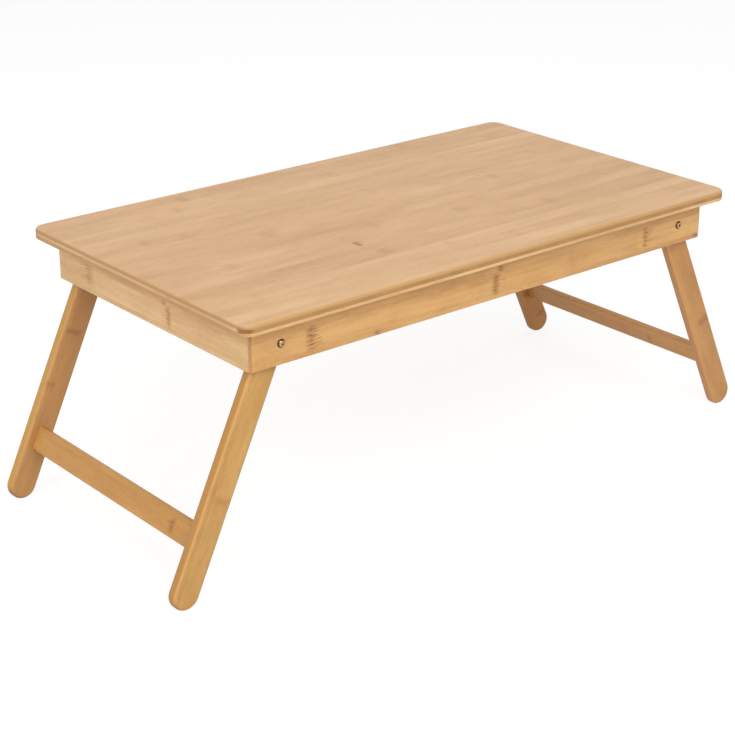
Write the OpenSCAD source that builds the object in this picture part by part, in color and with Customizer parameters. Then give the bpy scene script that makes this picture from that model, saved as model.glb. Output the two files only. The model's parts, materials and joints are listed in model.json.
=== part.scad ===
// Folding lap table in laminated bamboo.
// A three-ply top sits on four mitred aprons. Two leg frames hang from bolts through the long
// aprons: open, each leans against the lower inner edge of its end apron, and shut, it lies flat
// under the top. Millimetres, +Z up, feet on z = 0, origin under the middle of the top.

/* [Tabletop] */
// Length of the top, along X
top_l = 700; // [696:1:900]
// Width of the top, along Y
top_w = 400; // [320:5:500]
// Thickness of the face ply
face_t = 4; // [3.5:0.5:6]
// Thickness of the core ply
core_t = 4; // [3.5:0.5:6]
// Thickness of the back ply
back_t = 4; // [3:0.5:6]
// Radius of the top's four corners in plan
corner_r = 15; // [8:1:25]
// Rounding of the face ply's upper edge
face_round = 3; // [1:0.5:3]
// Easing of the back ply's lower edge
back_ease = 1; // [0.5:0.5:2]

/* [Aprons] */
// Height of the aprons
apron_h = 48; // [44:1:54]
// Thickness of the aprons
apron_t = 10; // [9:0.5:12]
// How far the aprons sit in from the edge of the top
apron_inset = 21; // [15:1:24]
// Easing of the aprons' outer corners and lower outer edges
apron_ease = 1.5; // [0.5:0.5:3]

/* [Leg frames] */
// Height from the floor to the upper face of the top
table_h = 300; // [240:1:302]
// Width of a leg, seen from the front
leg_w = 32; // [28:1:36]
// Thickness of a leg, along Y
leg_t = 13; // [11:1:16]
// Rounding of a leg's long edges
leg_round = 4; // [2:0.5:5]
// Distance from an apron's outer end to the pivot
pivot_inset = 38.5; // [37:0.5:39]
// Depth of the pivot below the underside of the top
pivot_drop = 25; // [24:0.5:27]
// Height of a stretcher, along the leg
stretcher_h = 28; // [24:1:36]
// Thickness of a stretcher
stretcher_t = 8; // [7:0.5:12]
// Rounding of a stretcher's long edges
stretcher_round = 2; // [1:0.5:3]
// Distance along the leg from the pivot to the middle of the stretcher
stretcher_drop = 215; // [160:1:230]
// How far the stretcher sits outward of the middle of the leg
stretcher_out = 1; // [0:0.5:4]

/* [Pivot hardware] */
// Diameter of the bolt shank
bolt_d = 5; // [4:0.5:6]
// Diameter of the domed bolt head
head_d = 9.5; // [8:0.5:12]
// Height of the domed bolt head
head_h = 2.75; // [2.5:0.05:3.5]
// Width across flats of the socket in the bolt head
socket_af = 3; // [2.5:0.5:4]
// Depth of the socket in the bolt head
socket_depth = 1.6; // [1:0.1:2]
// Bolt length that stands out past the nut
bolt_tail = 1.5; // [0.5:0.5:3]
// Outer diameter of the washers
washer_d = 10; // [9:0.5:14]
// Thickness of the spacer washer between apron and leg
spacer_t = 1; // [0.5:0.25:2]
// Thickness of the washer under the nut
nut_washer_t = 1; // [0.5:0.25:2]
// Width across flats of the lock nut
nut_af = 8; // [7.5:0.5:11]
// Height of the lock nut's hexagon
nut_h = 3.6; // [3:0.2:5]
// Height of the lock nut's round collar
collar_h = 1.4; // [1:0.2:2]
// Diameter of the lock nut's round collar
collar_d = 7.4; // [7:0.1:7.5]

/* [Dowels and splines] */
// Diameter of the dowels that hold the top
top_dowel_d = 6; // [5:0.5:7]
// Depth of those dowels in the top
dowel_in_top = 6.5; // [5:0.5:7]
// Depth of those dowels in the aprons
dowel_in_apron = 15; // [10:1:18]
// Distance from an apron's outer end to its first dowel
dowel_end = 50; // [35:1:70]
// Number of dowels along a long apron
long_dowels = 5; // [3:1:7]
// Number of dowels along an end apron
end_dowels = 3; // [2:1:4]
// Diameter of the dowels in the stretcher ends
stretcher_dowel_d = 4; // [3:0.5:5]
// Depth of those dowels in the legs
dowel_in_leg = 8; // [6:0.5:9]
// Depth of those dowels in the stretcher
dowel_in_stretcher = 16; // [10:1:22]
// Distance between the two dowels of a stretcher end
dowel_pitch = 14; // [12:1:18]
// Thickness of the mitre splines
spline_t = 3; // [2:0.5:3.5]
// Width of the mitre splines, across the joint
spline_w = 8; // [6:0.5:9]
// Height of the mitre splines
spline_h = 34; // [24:1:36]

/* [Clearances] */
// Radial running clearance of a leg on its bolt
run_clear = 0.08; // [0.02:0.02:0.1]
// Radial clearance of the bolt in apron, washers and nut
bolt_clear = 0.1; // [0.05:0.05:0.2]
// Glue clearance round dowels and splines
glue_clear = 0.05; // [0.02:0.01:0.1]
// Glue space past the end of each dowel
end_clear = 0.5; // [0.2:0.1:1]
// Gap between an open leg and the end apron that stops it
stop_clear = 0.3; // [0.1:0.1:0.6]

/* [Hidden] */
$fn = 96;
eps = 0.01;
// Heights of the layers, from the upper face down
top_z = table_h;
face_z = top_z - face_t;
core_z = face_z - core_t;
back_z = core_z - back_t;
apron_z = back_z - apron_h;
// Outline of the ring of aprons
ring_l = top_l - 2 * apron_inset;
ring_w = top_w - 2 * apron_inset;
apron_in_y = ring_w / 2 - apron_t;
// Pivots, and the lean at which a leg meets the lower inner edge of its end apron
pivot_x = ring_l / 2 - pivot_inset;
pivot_z = back_z - pivot_drop;
stop_dx = pivot_inset - apron_t;
stop_dz = apron_h - pivot_drop;
splay = acos((leg_w / 2 + stop_clear) / norm([stop_dx, stop_dz])) - atan2(stop_dz, stop_dx);
leg_reach = (pivot_z - leg_w / 2) / cos(splay);
// Places across the table
leg_y = apron_in_y - spacer_t - leg_t / 2;
leg_in_y = leg_y - leg_t / 2;
nut_y = leg_in_y - nut_washer_t;
bolt_l = apron_t + spacer_t + leg_t + nut_washer_t + nut_h + collar_h + bolt_tail;
hex_d = nut_af / cos(30);
socket_d = socket_af / cos(30);
head_r = (pow(head_d / 2, 2) + pow(head_h, 2)) / (2 * head_h);
stretcher_l = 2 * leg_in_y;
// Pitches of the dowels under the top
long_pitch = (ring_l - 2 * dowel_end) / (long_dowels - 1);
end_pitch = (ring_w - 2 * dowel_end) / (end_dowels - 1);

BAMBOO = "burlywood";
BAMBOO_DARK = "peru";
STEEL = "silver";

// ---------- shared shapes ----------

// Rectangle with four rounded corners, centred
module rounded_rect(l, w, r) {
    square([l - 2 * r, w], center = true);
    square([l, w - 2 * r], center = true);
    for (x = [-1, 1], y = [-1, 1])
        translate([x * (l / 2 - r), y * (w / 2 - r)]) circle(r);
}

// Cross-section from the axis out to half, from 0 up to t, with its upper outer corner rounded
module eased_half(half, t, ease) {
    square([half - ease, t]);
    square([half, t - ease]);
    translate([half - ease, t - ease]) intersection() {
        circle(ease);
        square(ease);
    }
}

// The same cross-section on both sides of the axis
module eased_section(half, t, ease) {
    eased_half(half, t, ease);
    mirror([1, 0]) eased_half(half, t, ease);
}

// Slab from z = 0 up to t, with round corners in plan and a rounded upper edge
module eased_slab(l, w, t, corner, ease) {
    rotate([90, 0, 0]) linear_extrude(w - 2 * corner, center = true)
        eased_section(l / 2, t, ease);
    rotate([90, 0, 90]) linear_extrude(l - 2 * corner, center = true)
        eased_section(w / 2, t, ease);
    for (x = [-1, 1], y = [-1, 1])
        translate([x * (l / 2 - corner), y * (w / 2 - corner), 0])
            rotate_extrude() eased_half(corner, t, ease);
}

// Half of a leg's cross-section, out from its middle, for turning its round ends
module leg_half_section() {
    intersection() {
        rounded_rect(leg_w, leg_t, leg_round);
        translate([0, -leg_t / 2]) square([leg_w / 2, leg_t]);
    }
}

// Centres of the dowels under the top
function long_dowel_x(i) = -ring_l / 2 + dowel_end + i * long_pitch;
function end_dowel_y(i) = -ring_w / 2 + dowel_end + i * end_pitch;

module at_top_dowels() {
    for (y = [-1, 1], i = [0 : long_dowels - 1])
        translate([long_dowel_x(i), y * (ring_w - apron_t) / 2, back_z]) children();
    for (x = [-1, 1], i = [0 : end_dowels - 1])
        translate([x * (ring_l - apron_t) / 2, end_dowel_y(i), back_z]) children();
}

module top_dowel_holes() {
    at_top_dowels()
        translate([0, 0, -dowel_in_apron - end_clear])
            cylinder(d = top_dowel_d + 2 * glue_clear, h = dowel_in_apron + dowel_in_top + 2 * end_clear);
}

// One spline blank at each mitre, grown by a clearance
module spline_blanks(grow) {
    for (x = [-1, 1], y = [-1, 1])
        translate([x * (ring_l - apron_t) / 2, y * (ring_w - apron_t) / 2, apron_z + apron_h / 2])
            rotate([0, 0, -x * y * 45])
                cube([spline_w + 2 * grow, spline_t + 2 * grow, spline_h + 2 * grow], center = true);
}

// Puts a leg-frame shape on its pivot axis: side -1 is left, 1 is right
module on_pivot(side) {
    translate([side * pivot_x, 0, pivot_z]) rotate([0, -side * splay, 0]) children();
}

// Puts something at the stretcher's two dowel places, in the leg frame's own axes
module at_stretcher_dowels(side) {
    for (z = [-1, 1])
        translate([side * stretcher_out, 0, -stretcher_drop + z * dowel_pitch / 2]) children();
}

// Puts hardware at both ends of one pivot axis, its own +Z pointing outward along Y
module at_pivot_ends(side, y) {
    for (row = [-1, 1])
        translate([side * pivot_x, row * y, pivot_z]) rotate([-row * 90, 0, 0]) children();
}

// ---------- top ----------

module top_face_ply() {
    color(BAMBOO) translate([0, 0, face_z])
        eased_slab(top_l, top_w, face_t, corner_r, face_round);
}

module top_core_ply() {
    color(BAMBOO_DARK) difference() {
        translate([0, 0, core_z]) linear_extrude(core_t) rounded_rect(top_l, top_w, corner_r);
        top_dowel_holes();
    }
}

module top_back_ply() {
    color(BAMBOO) difference() {
        translate([0, 0, core_z]) mirror([0, 0, 1])
            eased_slab(top_l, top_w, back_t, corner_r, back_ease);
        top_dowel_holes();
    }
}

// ---------- aprons ----------

// The closed ring of four aprons, before the mitres part them
module apron_ring() {
    difference() {
        translate([0, 0, back_z]) mirror([0, 0, 1])
            eased_slab(ring_l, ring_w, apron_h, 2 * apron_ease, apron_ease);
        translate([0, 0, apron_z + apron_h / 2])
            cube([ring_l - 2 * apron_t, ring_w - 2 * apron_t, apron_h + 2], center = true);
        top_dowel_holes();
        spline_blanks(glue_clear);
        for (side = [-1, 1])
            translate([side * pivot_x, 0, pivot_z]) rotate([90, 0, 0])
                cylinder(d = bolt_d + 2 * bolt_clear, h = ring_w + 2, center = true);
    }
}

// Plan of the wedge between two mitre cuts, for a side of length l at distance w / 2 below the middle
module mitre_wedge(l, w) {
    deep = 2 * apron_t;
    translate([0, 0, apron_z - 1]) linear_extrude(apron_h + 2)
        polygon([
            [-l / 2 - deep, -w / 2 - deep], [l / 2 + deep, -w / 2 - deep],
            [l / 2 - deep, -w / 2 + deep], [-l / 2 + deep, -w / 2 + deep]
        ]);
}

module front_apron() {
    color(BAMBOO) intersection() {
        apron_ring();
        mitre_wedge(ring_l, ring_w);
    }
}

module rear_apron() {
    color(BAMBOO) intersection() {
        apron_ring();
        rotate([0, 0, 180]) mitre_wedge(ring_l, ring_w);
    }
}

module left_end_apron() {
    color(BAMBOO_DARK) intersection() {
        apron_ring();
        rotate([0, 0, -90]) mitre_wedge(ring_w, ring_l);
    }
}

module right_end_apron() {
    color(BAMBOO_DARK) intersection() {
        apron_ring();
        rotate([0, 0, 90]) mitre_wedge(ring_w, ring_l);
    }
}

module mitre_splines() {
    color(BAMBOO_DARK) spline_blanks(0);
}

module top_dowels() {
    color(BAMBOO_DARK) at_top_dowels()
        translate([0, 0, -dowel_in_apron]) cylinder(d = top_dowel_d, h = dowel_in_apron + dowel_in_top);
}

// ---------- leg frames ----------

// One leg: side -1 left or 1 right, row -1 front or 1 rear
module leg(side, row) {
    color(BAMBOO) on_pivot(side) difference() {
        translate([0, row * leg_y, 0]) union() {
            translate([0, 0, -leg_reach]) linear_extrude(leg_reach) rounded_rect(leg_w, leg_t, leg_round);
            for (z = [0, -leg_reach])
                translate([0, 0, z]) rotate([90, 0, 0]) rotate_extrude() leg_half_section();
        }
        rotate([90, 0, 0]) cylinder(d = bolt_d + 2 * run_clear, h = ring_w, center = true);
        stretcher_dowel_holes(side);
    }
}

// The stretcher dowels' holes, from end to end of the frame's two joints
module stretcher_dowel_holes(side) {
    hole_l = dowel_in_leg + dowel_in_stretcher + 2 * end_clear;
    for (row = [-1, 1])
        at_stretcher_dowels(side)
            translate([0, row * (leg_in_y + (dowel_in_leg - dowel_in_stretcher) / 2), 0])
                rotate([90, 0, 0])
                    cylinder(d = stretcher_dowel_d + 2 * glue_clear, h = hole_l, center = true);
}

module stretcher(side) {
    color(BAMBOO_DARK) on_pivot(side) difference() {
        translate([side * stretcher_out, 0, -stretcher_drop]) rotate([90, 0, 0])
            linear_extrude(stretcher_l, center = true)
                rounded_rect(stretcher_t, stretcher_h, stretcher_round);
        stretcher_dowel_holes(side);
    }
}

module stretcher_dowels(side) {
    color(BAMBOO) on_pivot(side)
        for (row = [-1, 1])
            at_stretcher_dowels(side)
                translate([0, row * (leg_in_y + (dowel_in_leg - dowel_in_stretcher) / 2), 0])
                    rotate([90, 0, 0])
                        cylinder(d = stretcher_dowel_d, h = dowel_in_leg + dowel_in_stretcher, center = true);
}

module left_front_leg() leg(-1, -1);
module left_rear_leg() leg(-1, 1);
module right_front_leg() leg(1, -1);
module right_rear_leg() leg(1, 1);
module left_stretcher() stretcher(-1);
module right_stretcher() stretcher(1);
module left_stretcher_dowels() stretcher_dowels(-1);
module right_stretcher_dowels() stretcher_dowels(1);

// ---------- pivot hardware ----------

// Domed bolt, its head seated on z = 0 and its shank pointing down
module pivot_bolt() {
    difference() {
        union() {
            rotate_extrude() intersection() {
                translate([0, head_h - head_r]) circle(head_r);
                square([head_d / 2, head_h]);
            }
            translate([0, 0, -bolt_l]) cylinder(d = bolt_d, h = bolt_l + eps);
        }
        translate([0, 0, head_h - socket_depth]) cylinder(d = socket_d, h = socket_depth + 1, $fn = 6);
    }
}

module washer(t) {
    difference() {
        cylinder(d = washer_d, h = t);
        translate([0, 0, -1]) cylinder(d = bolt_d + 2 * bolt_clear, h = t + 2);
    }
}

// Lock nut, its hexagon seated on z = 0 and its collar pointing down
module lock_nut() {
    difference() {
        union() {
            translate([0, 0, -nut_h]) cylinder(d = hex_d, h = nut_h, $fn = 6);
            translate([0, 0, -nut_h - collar_h]) cylinder(d = collar_d, h = collar_h + eps);
        }
        translate([0, 0, -nut_h - collar_h - 1])
            cylinder(d = bolt_d + 2 * bolt_clear, h = nut_h + collar_h + 2);
    }
}

module pivot_bolts(side) {
    color(STEEL) at_pivot_ends(side, ring_w / 2) pivot_bolt();
}

module spacer_washers(side) {
    color(STEEL) at_pivot_ends(side, apron_in_y - spacer_t) washer(spacer_t);
}

module nut_washers(side) {
    color(STEEL) at_pivot_ends(side, nut_y) washer(nut_washer_t);
}

module lock_nuts(side) {
    color(STEEL) at_pivot_ends(side, nut_y) lock_nut();
}

module left_pivot_bolts() pivot_bolts(-1);
module right_pivot_bolts() pivot_bolts(1);
module left_spacer_washers() spacer_washers(-1);
module right_spacer_washers() spacer_washers(1);
module left_nut_washers() nut_washers(-1);
module right_nut_washers() nut_washers(1);
module left_lock_nuts() lock_nuts(-1);
module right_lock_nuts() lock_nuts(1);

top_face_ply();
top_core_ply();
top_back_ply();
front_apron();
rear_apron();
left_end_apron();
right_end_apron();
mitre_splines();
top_dowels();
left_front_leg();
left_rear_leg();
left_stretcher();
left_stretcher_dowels();
right_front_leg();
right_rear_leg();
right_stretcher();
right_stretcher_dowels();
left_pivot_bolts();
right_pivot_bolts();
left_spacer_washers();
right_spacer_washers();
left_nut_washers();
right_nut_washers();
left_lock_nuts();
right_lock_nuts();
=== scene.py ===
"""Folding lap table in laminated bamboo: its finishes, its pivot hardware and its studio."""

import json
import logging
import math
from collections.abc import Callable, Iterable
from dataclasses import dataclass, replace
from enum import Enum

import bpy
from mathutils import Euler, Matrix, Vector

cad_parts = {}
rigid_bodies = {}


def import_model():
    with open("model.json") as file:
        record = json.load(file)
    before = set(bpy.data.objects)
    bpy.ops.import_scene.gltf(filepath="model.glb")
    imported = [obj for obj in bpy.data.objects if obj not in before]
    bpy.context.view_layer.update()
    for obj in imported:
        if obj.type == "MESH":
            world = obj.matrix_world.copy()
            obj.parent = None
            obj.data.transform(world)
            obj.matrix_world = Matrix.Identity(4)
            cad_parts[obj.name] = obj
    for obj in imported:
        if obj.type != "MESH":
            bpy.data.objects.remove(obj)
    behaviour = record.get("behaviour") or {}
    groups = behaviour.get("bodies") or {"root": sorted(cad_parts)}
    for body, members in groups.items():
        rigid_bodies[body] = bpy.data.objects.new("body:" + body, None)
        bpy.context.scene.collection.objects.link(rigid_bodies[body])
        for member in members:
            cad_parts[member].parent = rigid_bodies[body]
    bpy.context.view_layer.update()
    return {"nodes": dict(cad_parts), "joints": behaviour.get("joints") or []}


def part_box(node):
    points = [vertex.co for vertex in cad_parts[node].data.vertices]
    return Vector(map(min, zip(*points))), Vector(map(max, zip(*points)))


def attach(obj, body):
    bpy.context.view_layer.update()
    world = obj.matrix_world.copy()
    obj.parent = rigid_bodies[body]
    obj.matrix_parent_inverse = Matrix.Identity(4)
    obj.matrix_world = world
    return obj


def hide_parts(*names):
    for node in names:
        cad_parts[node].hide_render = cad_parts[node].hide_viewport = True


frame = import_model()

LOG = logging.getLogger("lap_table")
MM = 0.001
HEXAGON = 6

Colour = tuple[float, float, float]
Triple = tuple[float, float, float]
Span = tuple[float, float]

WHITE: Colour = (1.0, 1.0, 1.0)


class Side(Enum):
    """Which end of the table a leg frame folds from."""

    LEFT = -1
    RIGHT = 1


class Row(Enum):
    """Which long edge of the table a piece is near."""

    FRONT = -1
    REAR = 1


class Seam(Enum):
    """The glue line that a board shows besides those between its own strips."""

    NONE = "none"
    MITRE = "mitre"
    PLIES = "plies"


def srgb(red: int, green: int, blue: int) -> Colour:
    """Turns a display colour into scene-linear values.

    Args:
        red: Red from 0 to 255.
        green: Green from 0 to 255.
        blue: Blue from 0 to 255.

    Returns:
        The three linear values.
    """
    parts = (value / 255 for value in (red, green, blue))
    return tuple(p / 12.92 if p <= 0.04045 else ((p + 0.055) / 1.055) ** 2.4 for p in parts)


def times(span: Span, size: float) -> Span:
    """Scales both ends of a range."""
    return span[0] * size, span[1] * size


def dimmed(colour: Colour, share: float) -> Colour:
    """Scales a colour's three values alike."""
    return tuple(value * share for value in colour)


def corner_reach(across: float) -> float:
    """Gives the distance from a hexagon's middle to its corners, from its width across flats."""
    return across / math.sqrt(3)


def hinge_of(side: Side) -> dict[str, object]:
    """Finds the joint that a side's leg frame turns on."""
    child = side.name.lower() + "_leg_frame"
    return next(joint for joint in frame["joints"] if joint["child"] == child)


# ---------- shader arithmetic ----------


class Sock:
    """A number socket of a shader, which Python's operators turn into Math nodes."""

    def __init__(self, tree: "ShaderTree", socket: bpy.types.NodeSocket) -> None:
        """Wraps one output socket of a tree."""
        self.tree = tree
        self.socket = socket

    def __add__(self, other: "Sock | float") -> "Sock":
        """Adds."""
        return self.tree.math("ADD", self, other)

    def __sub__(self, other: "Sock | float") -> "Sock":
        """Subtracts."""
        return self.tree.math("SUBTRACT", self, other)

    def __mul__(self, other: "Sock | float") -> "Sock":
        """Multiplies."""
        return self.tree.math("MULTIPLY", self, other)

    def __truediv__(self, other: "Sock | float") -> "Sock":
        """Divides."""
        return self.tree.math("DIVIDE", self, other)

    def __abs__(self) -> "Sock":
        """Gives the size without its sign."""
        return self.tree.math("ABSOLUTE", self)

    __radd__ = __add__

    def floor(self) -> "Sock":
        """Rounds down to a whole number."""
        return self.tree.math("FLOOR", self)

    def most(self, other: "Sock | float") -> "Sock":
        """Gives the larger of two values."""
        return self.tree.math("MAXIMUM", self, other)

    def clamped(self) -> "Sock":
        """Limits the value to the range from 0 to 1."""
        return self.tree.ease(self, (0.0, 1.0), smooth=False)


Feed = Sock | bpy.types.NodeSocket | float | Triple


class ShaderTree:
    """One material's or world's node tree and the few kinds of step that its recipes use."""

    def __init__(self, owner: bpy.types.Material | bpy.types.World) -> None:
        """Empties the owner's node tree.

        Args:
            owner: The material or the world that the tree belongs to.
        """
        self.owner = owner
        owner.use_nodes = True
        self.tree = owner.node_tree
        self.tree.nodes.clear()

    @classmethod
    def of_material(cls, name: str) -> "ShaderTree":
        """Makes a material with an empty tree."""
        return cls(bpy.data.materials.new(name))

    def node(
        self, kind: str, settings: dict[str, object], inputs: dict[str | int, Feed]
    ) -> bpy.types.Node:
        """Adds one node.

        Args:
            kind: The node's type, without its ShaderNode prefix.
            settings: The node's own settings, set before its sockets.
            inputs: Values, Socks or sockets for its inputs, by name or index.

        Returns:
            The new node.
        """
        made = self.tree.nodes.new("ShaderNode" + kind)
        for key, value in settings.items():
            setattr(made, key, value)
        for key, value in inputs.items():
            self.plug(made.inputs[key], value)
        return made

    def plug(self, target: bpy.types.NodeSocket, value: Feed) -> None:
        """Links a Sock or a socket to an input, or sets a plain value on it.

        Args:
            target: The input.
            value: What it gets. A colour gets an alpha of 1.
        """
        if isinstance(value, Sock):
            value = value.socket
        if isinstance(value, bpy.types.NodeSocket):
            self.tree.links.new(value, target)
        elif isinstance(value, tuple) and target.type == "RGBA":
            target.default_value = (*value, 1.0)
        else:
            target.default_value = value

    def place(self, output: str = "Object") -> bpy.types.NodeSocket:
        """Gives one of the surface's own coordinates."""
        return self.node("TexCoord", {}, {}).outputs[output]

    def math(self, operation: str, *values: Sock | float) -> Sock:
        """Adds a Math node on up to three values."""
        made = self.node("Math", {"operation": operation}, dict(enumerate(values)))
        return Sock(self, made.outputs[0])

    def vector(self, operation: str, *values: Feed) -> bpy.types.Node:
        """Adds a Vector Math node on up to two vectors."""
        return self.node("VectorMath", {"operation": operation}, dict(enumerate(values)))

    def reach(self, vector: Feed, axis: Triple) -> Sock:
        """Measures a vector along an axis."""
        return Sock(self, self.vector("DOT_PRODUCT", vector, axis).outputs["Value"])

    def ease(
        self, value: Sock, source: Span, target: Span = (0.0, 1.0), smooth: bool = True
    ) -> Sock:
        """Maps a value from one range to another, clamped at both ends.

        Args:
            value: The value to map.
            source: The range that it comes from.
            target: The range that it goes to.
            smooth: Whether it leaves and reaches the ends gently.

        Returns:
            The mapped value.
        """
        kind = {"interpolation_type": "SMOOTHSTEP" if smooth else "LINEAR"}
        ends = {1: source[0], 2: source[1], 3: target[0], 4: target[1]}
        return Sock(self, self.node("MapRange", kind, {0: value, **ends}).outputs[0])

    def combine(self, x: Sock | float, y: Sock | float, z: Sock | float) -> bpy.types.NodeSocket:
        """Makes a vector from three values."""
        return self.node("CombineXYZ", {}, {0: x, 1: y, 2: z}).outputs[0]

    def noise(
        self, place: Feed, scale: float = 1.0, detail: float = 2.0, roughness: float = 0.5
    ) -> Sock:
        """Gives smooth noise around 0.5.

        Args:
            place: The coordinates that it reads.
            scale: Features per unit of them.
            detail: How many finer layers it has.
            roughness: How strong the finer layers are.

        Returns:
            The noise.
        """
        inputs = {"Vector": place, "Scale": scale, "Detail": detail, "Roughness": roughness}
        return Sock(self, self.node("TexNoise", {"noise_dimensions": "3D"}, inputs).outputs[0])

    def chances(self, place: Feed) -> list[Sock]:
        """Draws three even random values for each distinct place.

        Args:
            place: The coordinates that it reads.

        Returns:
            The three values, from 0 to 1.
        """
        cells = self.node("TexWhiteNoise", {"noise_dimensions": "3D"}, {"Vector": place})
        parts = self.node("SeparateColor", {}, {0: cells.outputs["Color"]})
        return [Sock(self, parts.outputs[k]) for k in range(3)]

    def blend(self, share: Sock | float, first: Feed, second: Feed) -> bpy.types.NodeSocket:
        """Mixes two colours.

        Args:
            share: How much of the second colour shows.
            first: The first colour, as a tuple or a socket.
            second: The second colour, as a tuple or a socket.

        Returns:
            The mixed colour's socket.
        """
        return self.node("Mix", {"data_type": "RGBA"}, {0: share, 6: first, 7: second}).outputs[2]

    def backdrop_mask(self) -> Sock:
        """Tells which rays see a white surrounding.

        Returns:
            1 for rays from the eye, or by way of gloss or glass, and 0 for the rest.
        """
        rays = self.node("LightPath", {}, {})
        kinds = ("Is Camera Ray", "Is Glossy Ray", "Is Transmission Ray")
        eye, gloss, glass = (Sock(self, rays.outputs[kind]) for kind in kinds)
        return eye.most(gloss).most(glass)

    def finish(
        self, base: Feed, changing: dict[str, Feed], fixed: dict[str, float]
    ) -> bpy.types.Material:
        """Closes a material's tree with a Principled shader.

        Args:
            base: Base colour.
            changing: Inputs that vary over the surface.
            fixed: Inputs that are the same all over.

        Returns:
            The finished material.
        """
        shader = self.node("BsdfPrincipled", {}, {"Base Color": base, **fixed, **changing})
        self.node("OutputMaterial", {}, {0: shader.outputs[0]})
        return self.owner


# ---------- bamboo ----------


@dataclass(frozen=True)
class BambooTone:
    """The colours of one batch of pressed bamboo."""

    light: Colour = srgb(232, 186, 126)
    dark: Colour = srgb(196, 143, 83)
    cast: Colour = srgb(202, 160, 92)
    # edge: colour of narrow faces, partly their own tone and partly painted light and shade
    edge: Colour = srgb(188, 136, 74)
    end: Colour = srgb(178, 130, 82)
    pore: Colour = srgb(126, 82, 44)
    knuckle: Colour = srgb(142, 88, 40)

    def tinted(self, red: float, green: float, blue: float) -> "BambooTone":
        """Gives another batch, with each primary of every colour scaled; the scales given to the
        pieces below are partly their own tone and partly painted light and shade.

        Args:
            red: Scale of red.
            green: Scale of green.
            blue: Scale of blue.

        Returns:
            The new batch.
        """
        scaled = {
            key: tuple(value * share for value, share in zip(colour, (red, green, blue)))
            for key, colour in vars(self).items()
        }
        return replace(self, **scaled)


@dataclass(frozen=True)
class FibreNoise:
    """Noise drawn out along the fibres: its features per metre each way and its finer layers."""

    lengthways: float
    sideways: float
    detail: float = 2.0
    roughness: float = 0.5


@dataclass(frozen=True)
class BambooRecipe:
    """What all boards share: their noises, and the weights and ranges that turn them into wood."""

    # How the noises lie on the strips.
    strip_shift: float = 7.0
    layer_phase: float = 0.31
    fibres: FibreNoise = FibreNoise(38.0, 1500.0, 2.0, 0.6)
    streaks: FibreNoise = FibreNoise(9.0, 230.0, 3.0, 0.6)
    clouds: FibreNoise = FibreNoise(5.0, 26.0)
    blotches: FibreNoise = FibreNoise(22.0, 75.0, 3.0)
    casts: FibreNoise = FibreNoise(7.0, 40.0)
    dashes: FibreNoise = FibreNoise(95.0, 760.0, 1.0)
    tears: FibreNoise = FibreNoise(80.0, 620.0, 1.0)
    jags: FibreNoise = FibreNoise(70.0, 420.0, 2.0, 0.7)

    # The plain wood.
    mean_shade: float = 0.44
    strip_weight: float = 0.25
    cloud_weight: float = 1.1
    fibre_share: float = 0.5
    cast_onset: Span = (0.46, 0.74)
    dark_dash_onset: Span = (0.58, 0.76)
    dark_dash_share: float = 0.22
    light_dash_onset: Span = (0.24, 0.42)
    light_dash_share: float = 0.5
    glue_onset: Span = (0.48, 0.5)

    # The faint knuckles of every strip.
    own_shift: float = 5.0
    own_seed_share: float = 0.37
    own_jag: float = 10 * MM
    own_band: Span = (1 * MM, 6 * MM)
    own_band_share: float = 0.5
    own_haze: Span = (2 * MM, 18 * MM)
    own_haze_share: float = 0.3
    own_force_onset: Span = (0.2, 1.0)
    own_force: Span = (0.15, 1.0)

    # The placed knuckles.
    tear_onset: Span = (0.44, 0.6)
    mark_jag: float = 5 * MM
    mark_fade: Span = (0.2, 1.4)
    mark_share: float = 0.5
    mark_fray_loss: float = 0.35
    mark_fray_gain: float = 0.5
    core_jag: float = 3 * MM
    core_fade: Span = (0.4 * MM, 1.8 * MM)
    core_share: float = 0.25
    core_floor: float = 0.6
    core_fray: float = 1.6
    tail_place: float = 0.9
    tail_fade: Span = (0.6, 2.2)
    rim_fade: Span = (0.6, 1.15)

    # Painted arris highlights, ends and seams.
    arris_onset: Span = (0.25, 0.6)
    arris_fade: Span = (0.75, 0.97)
    end_share: float = 0.9
    corner_onset: Span = (0.1, 0.4)
    bundles_per_metre: float = 950.0
    bundle_shift: float = 9.0
    bundle_fade: Span = (0.2, 0.48)
    bundle_share: float = 0.5
    end_mottle: float = 0.6
    seam_share: float = 0.45
    mitre_fade: Span = (0.1 * MM, 0.4 * MM)
    ply_seam_start: float = 0.15 * MM

    # The lacquer and its relief.
    roughness: float = 0.42
    fibre_roughness: float = 0.25
    end_roughness: float = 0.12
    fibre_height: float = 0.5
    streak_height: float = 0.5
    knuckle_depth: float = 0.3
    bump_strength: float = 0.25
    bump_distance: float = 0.12 * MM
    lacquer_ior: float = 1.48


WOOD = BambooRecipe()


@dataclass(frozen=True)
class Grain:
    """How a board lies: a point on it, the way that its fibres run and the way across its strips."""

    origin: Triple
    along: Triple
    across: Triple

    def depth(self) -> Triple:
        """Gives the direction through the board's thickness."""
        return tuple(Vector(self.along).cross(Vector(self.across)))


@dataclass(frozen=True)
class Knuckle:
    """One brown knuckle across a strip: its place on the board, its size and how torn it looks."""

    along: float
    across: float
    half: float = 9 * MM
    strength: float = 0.8
    spread: float = 4 * MM
    fray: float = 1.0


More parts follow.
